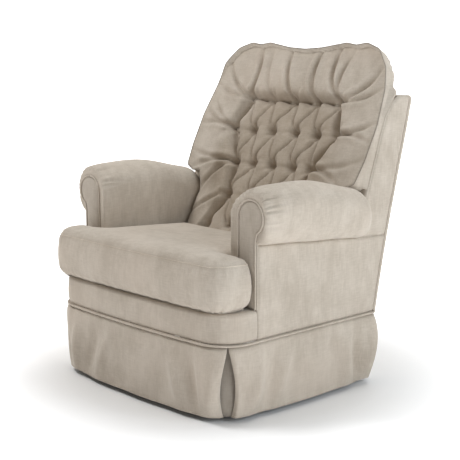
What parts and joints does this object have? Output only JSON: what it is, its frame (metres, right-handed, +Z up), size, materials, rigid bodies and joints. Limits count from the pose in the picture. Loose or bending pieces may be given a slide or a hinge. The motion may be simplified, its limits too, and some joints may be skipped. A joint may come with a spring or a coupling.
{
  "type": "upholstered swivel glider chair",
  "caption": "Upholstered armchair that swivels and glides, with a button-tufted back, rolled arms, a loose seat cushion and a pleated skirt to the floor.",
  "frame": {"origin": "on the floor, under the middle of the chair's outline", "axes": "+Z up, -Y the way the sitter faces, +X the sitter's left"},
  "size_m": [0.8584, 0.792, 1],
  "materials": {
    "upholstery": "brushed microsuede",
    "deck_cloth": "plain woven decking",
    "dust_cloth": "non-woven black cloth",
    "hardwood": "sawn",
    "plywood": "sawn",
    "black_steel": "satin",
    "bearing_steel": "satin",
    "zinc_bolts": "satin",
    "spring_wire": "satin",
    "nylon_bushes": "matte",
    "rubber": "matte"
  },
  "bodies": {
    "base": {"floor_pads": "rubber", "base_ring": "black_steel", "base_cross": "black_steel", "swivel_lower_race": "bearing_steel", "swivel_pin": "bearing_steel"},
    "turntable": {"swivel_balls": "bearing_steel", "swivel_upper_race": "bearing_steel", "turntable_plate": "black_steel", "stanchion_left": "black_steel", "stanchion_right": "black_steel", "stanchion_bolts": "zinc_bolts", "upper_pivot_bolts": "zinc_bolts", "bump_stops": "rubber"},
    "front_links": {"front_link_left": "black_steel", "front_link_right": "black_steel", "front_link_bushes": "nylon_bushes"},
    "rear_links": {"rear_link_left": "black_steel", "rear_link_right": "black_steel", "rear_link_bushes": "nylon_bushes"},
    "cushion": {"seat_cushion": "upholstery"},
    "seat": {"arm_facing_left": "upholstery", "arm_facing_right": "upholstery", "arm_pad_left": "upholstery", "arm_pad_right": "upholstery", "arm_rails": "hardwood", "arm_stumps": "hardwood", "back_board_left": "plywood", "back_board_right": "plywood", "back_low_rail": "hardwood", "back_pillow": "upholstery", "back_springs": "spring_wire", "back_top_rail": "hardwood", "back_wing_left": "upholstery", "back_wing_right": "upholstery", "bracket_bolts": "zinc_bolts", "deck_pad": "deck_cloth", "dust_cover": "dust_cloth", "facing_welts": "upholstery", "front_apron": "upholstery", "front_corner_blocks": "hardwood", "front_rail": "hardwood", "lower_pivot_bolts": "zinc_bolts", "mounting_boards": "hardwood", "outside_arm_left": "upholstery", "outside_arm_right": "upholstery", "outside_back": "upholstery", "pleat_inserts": "upholstery", "rear_rail": "hardwood", "seat_bracket_left": "black_steel", "seat_bracket_right": "black_steel", "seat_springs": "spring_wire", "seat_tie_bars": "black_steel", "side_rails": "hardwood", "skirt_back": "upholstery", "skirt_front": "upholstery", "skirt_left": "upholstery", "skirt_right": "upholstery", "skirt_welt": "upholstery", "spring_clips": "spring_wire", "tuft_buttons": "upholstery"}
  },
  "joints": [
    {"name": "swivel", "type": "hinge", "parent": "base", "child": "turntable", "pos_m": [0, -0.06, 0.05], "axis": [0, 0, 1], "continuous": true},
    {"name": "glide", "type": "hinge", "parent": "turntable", "child": "front_links", "pos_m": [0, -0.15, 0.185], "axis": [1, 0, 0], "range_deg": [-28, 28]},
    {"name": "glide_rear_links", "type": "hinge", "parent": "turntable", "child": "rear_links", "pos_m": [0, 0.03, 0.185], "axis": [1, 0, 0], "range_deg": [-28.5, 28.5]},
    {"name": "glide_seat", "type": "hinge", "parent": "front_links", "child": "seat", "pos_m": [0, -0.15, 0.065], "axis": [1, 0, 0], "range_deg": [-28.5, 28.5]},
    {"name": "cushion_lift", "type": "slide", "parent": "seat", "child": "cushion", "axis": [0, 0, 1], "range_m": [0, 0.12]}
  ],
  "couplings": [
    {"joint": "glide_rear_links", "follows": "glide", "ratio": 1},
    {"joint": "glide_seat", "follows": "glide", "ratio": -1}
  ]
}
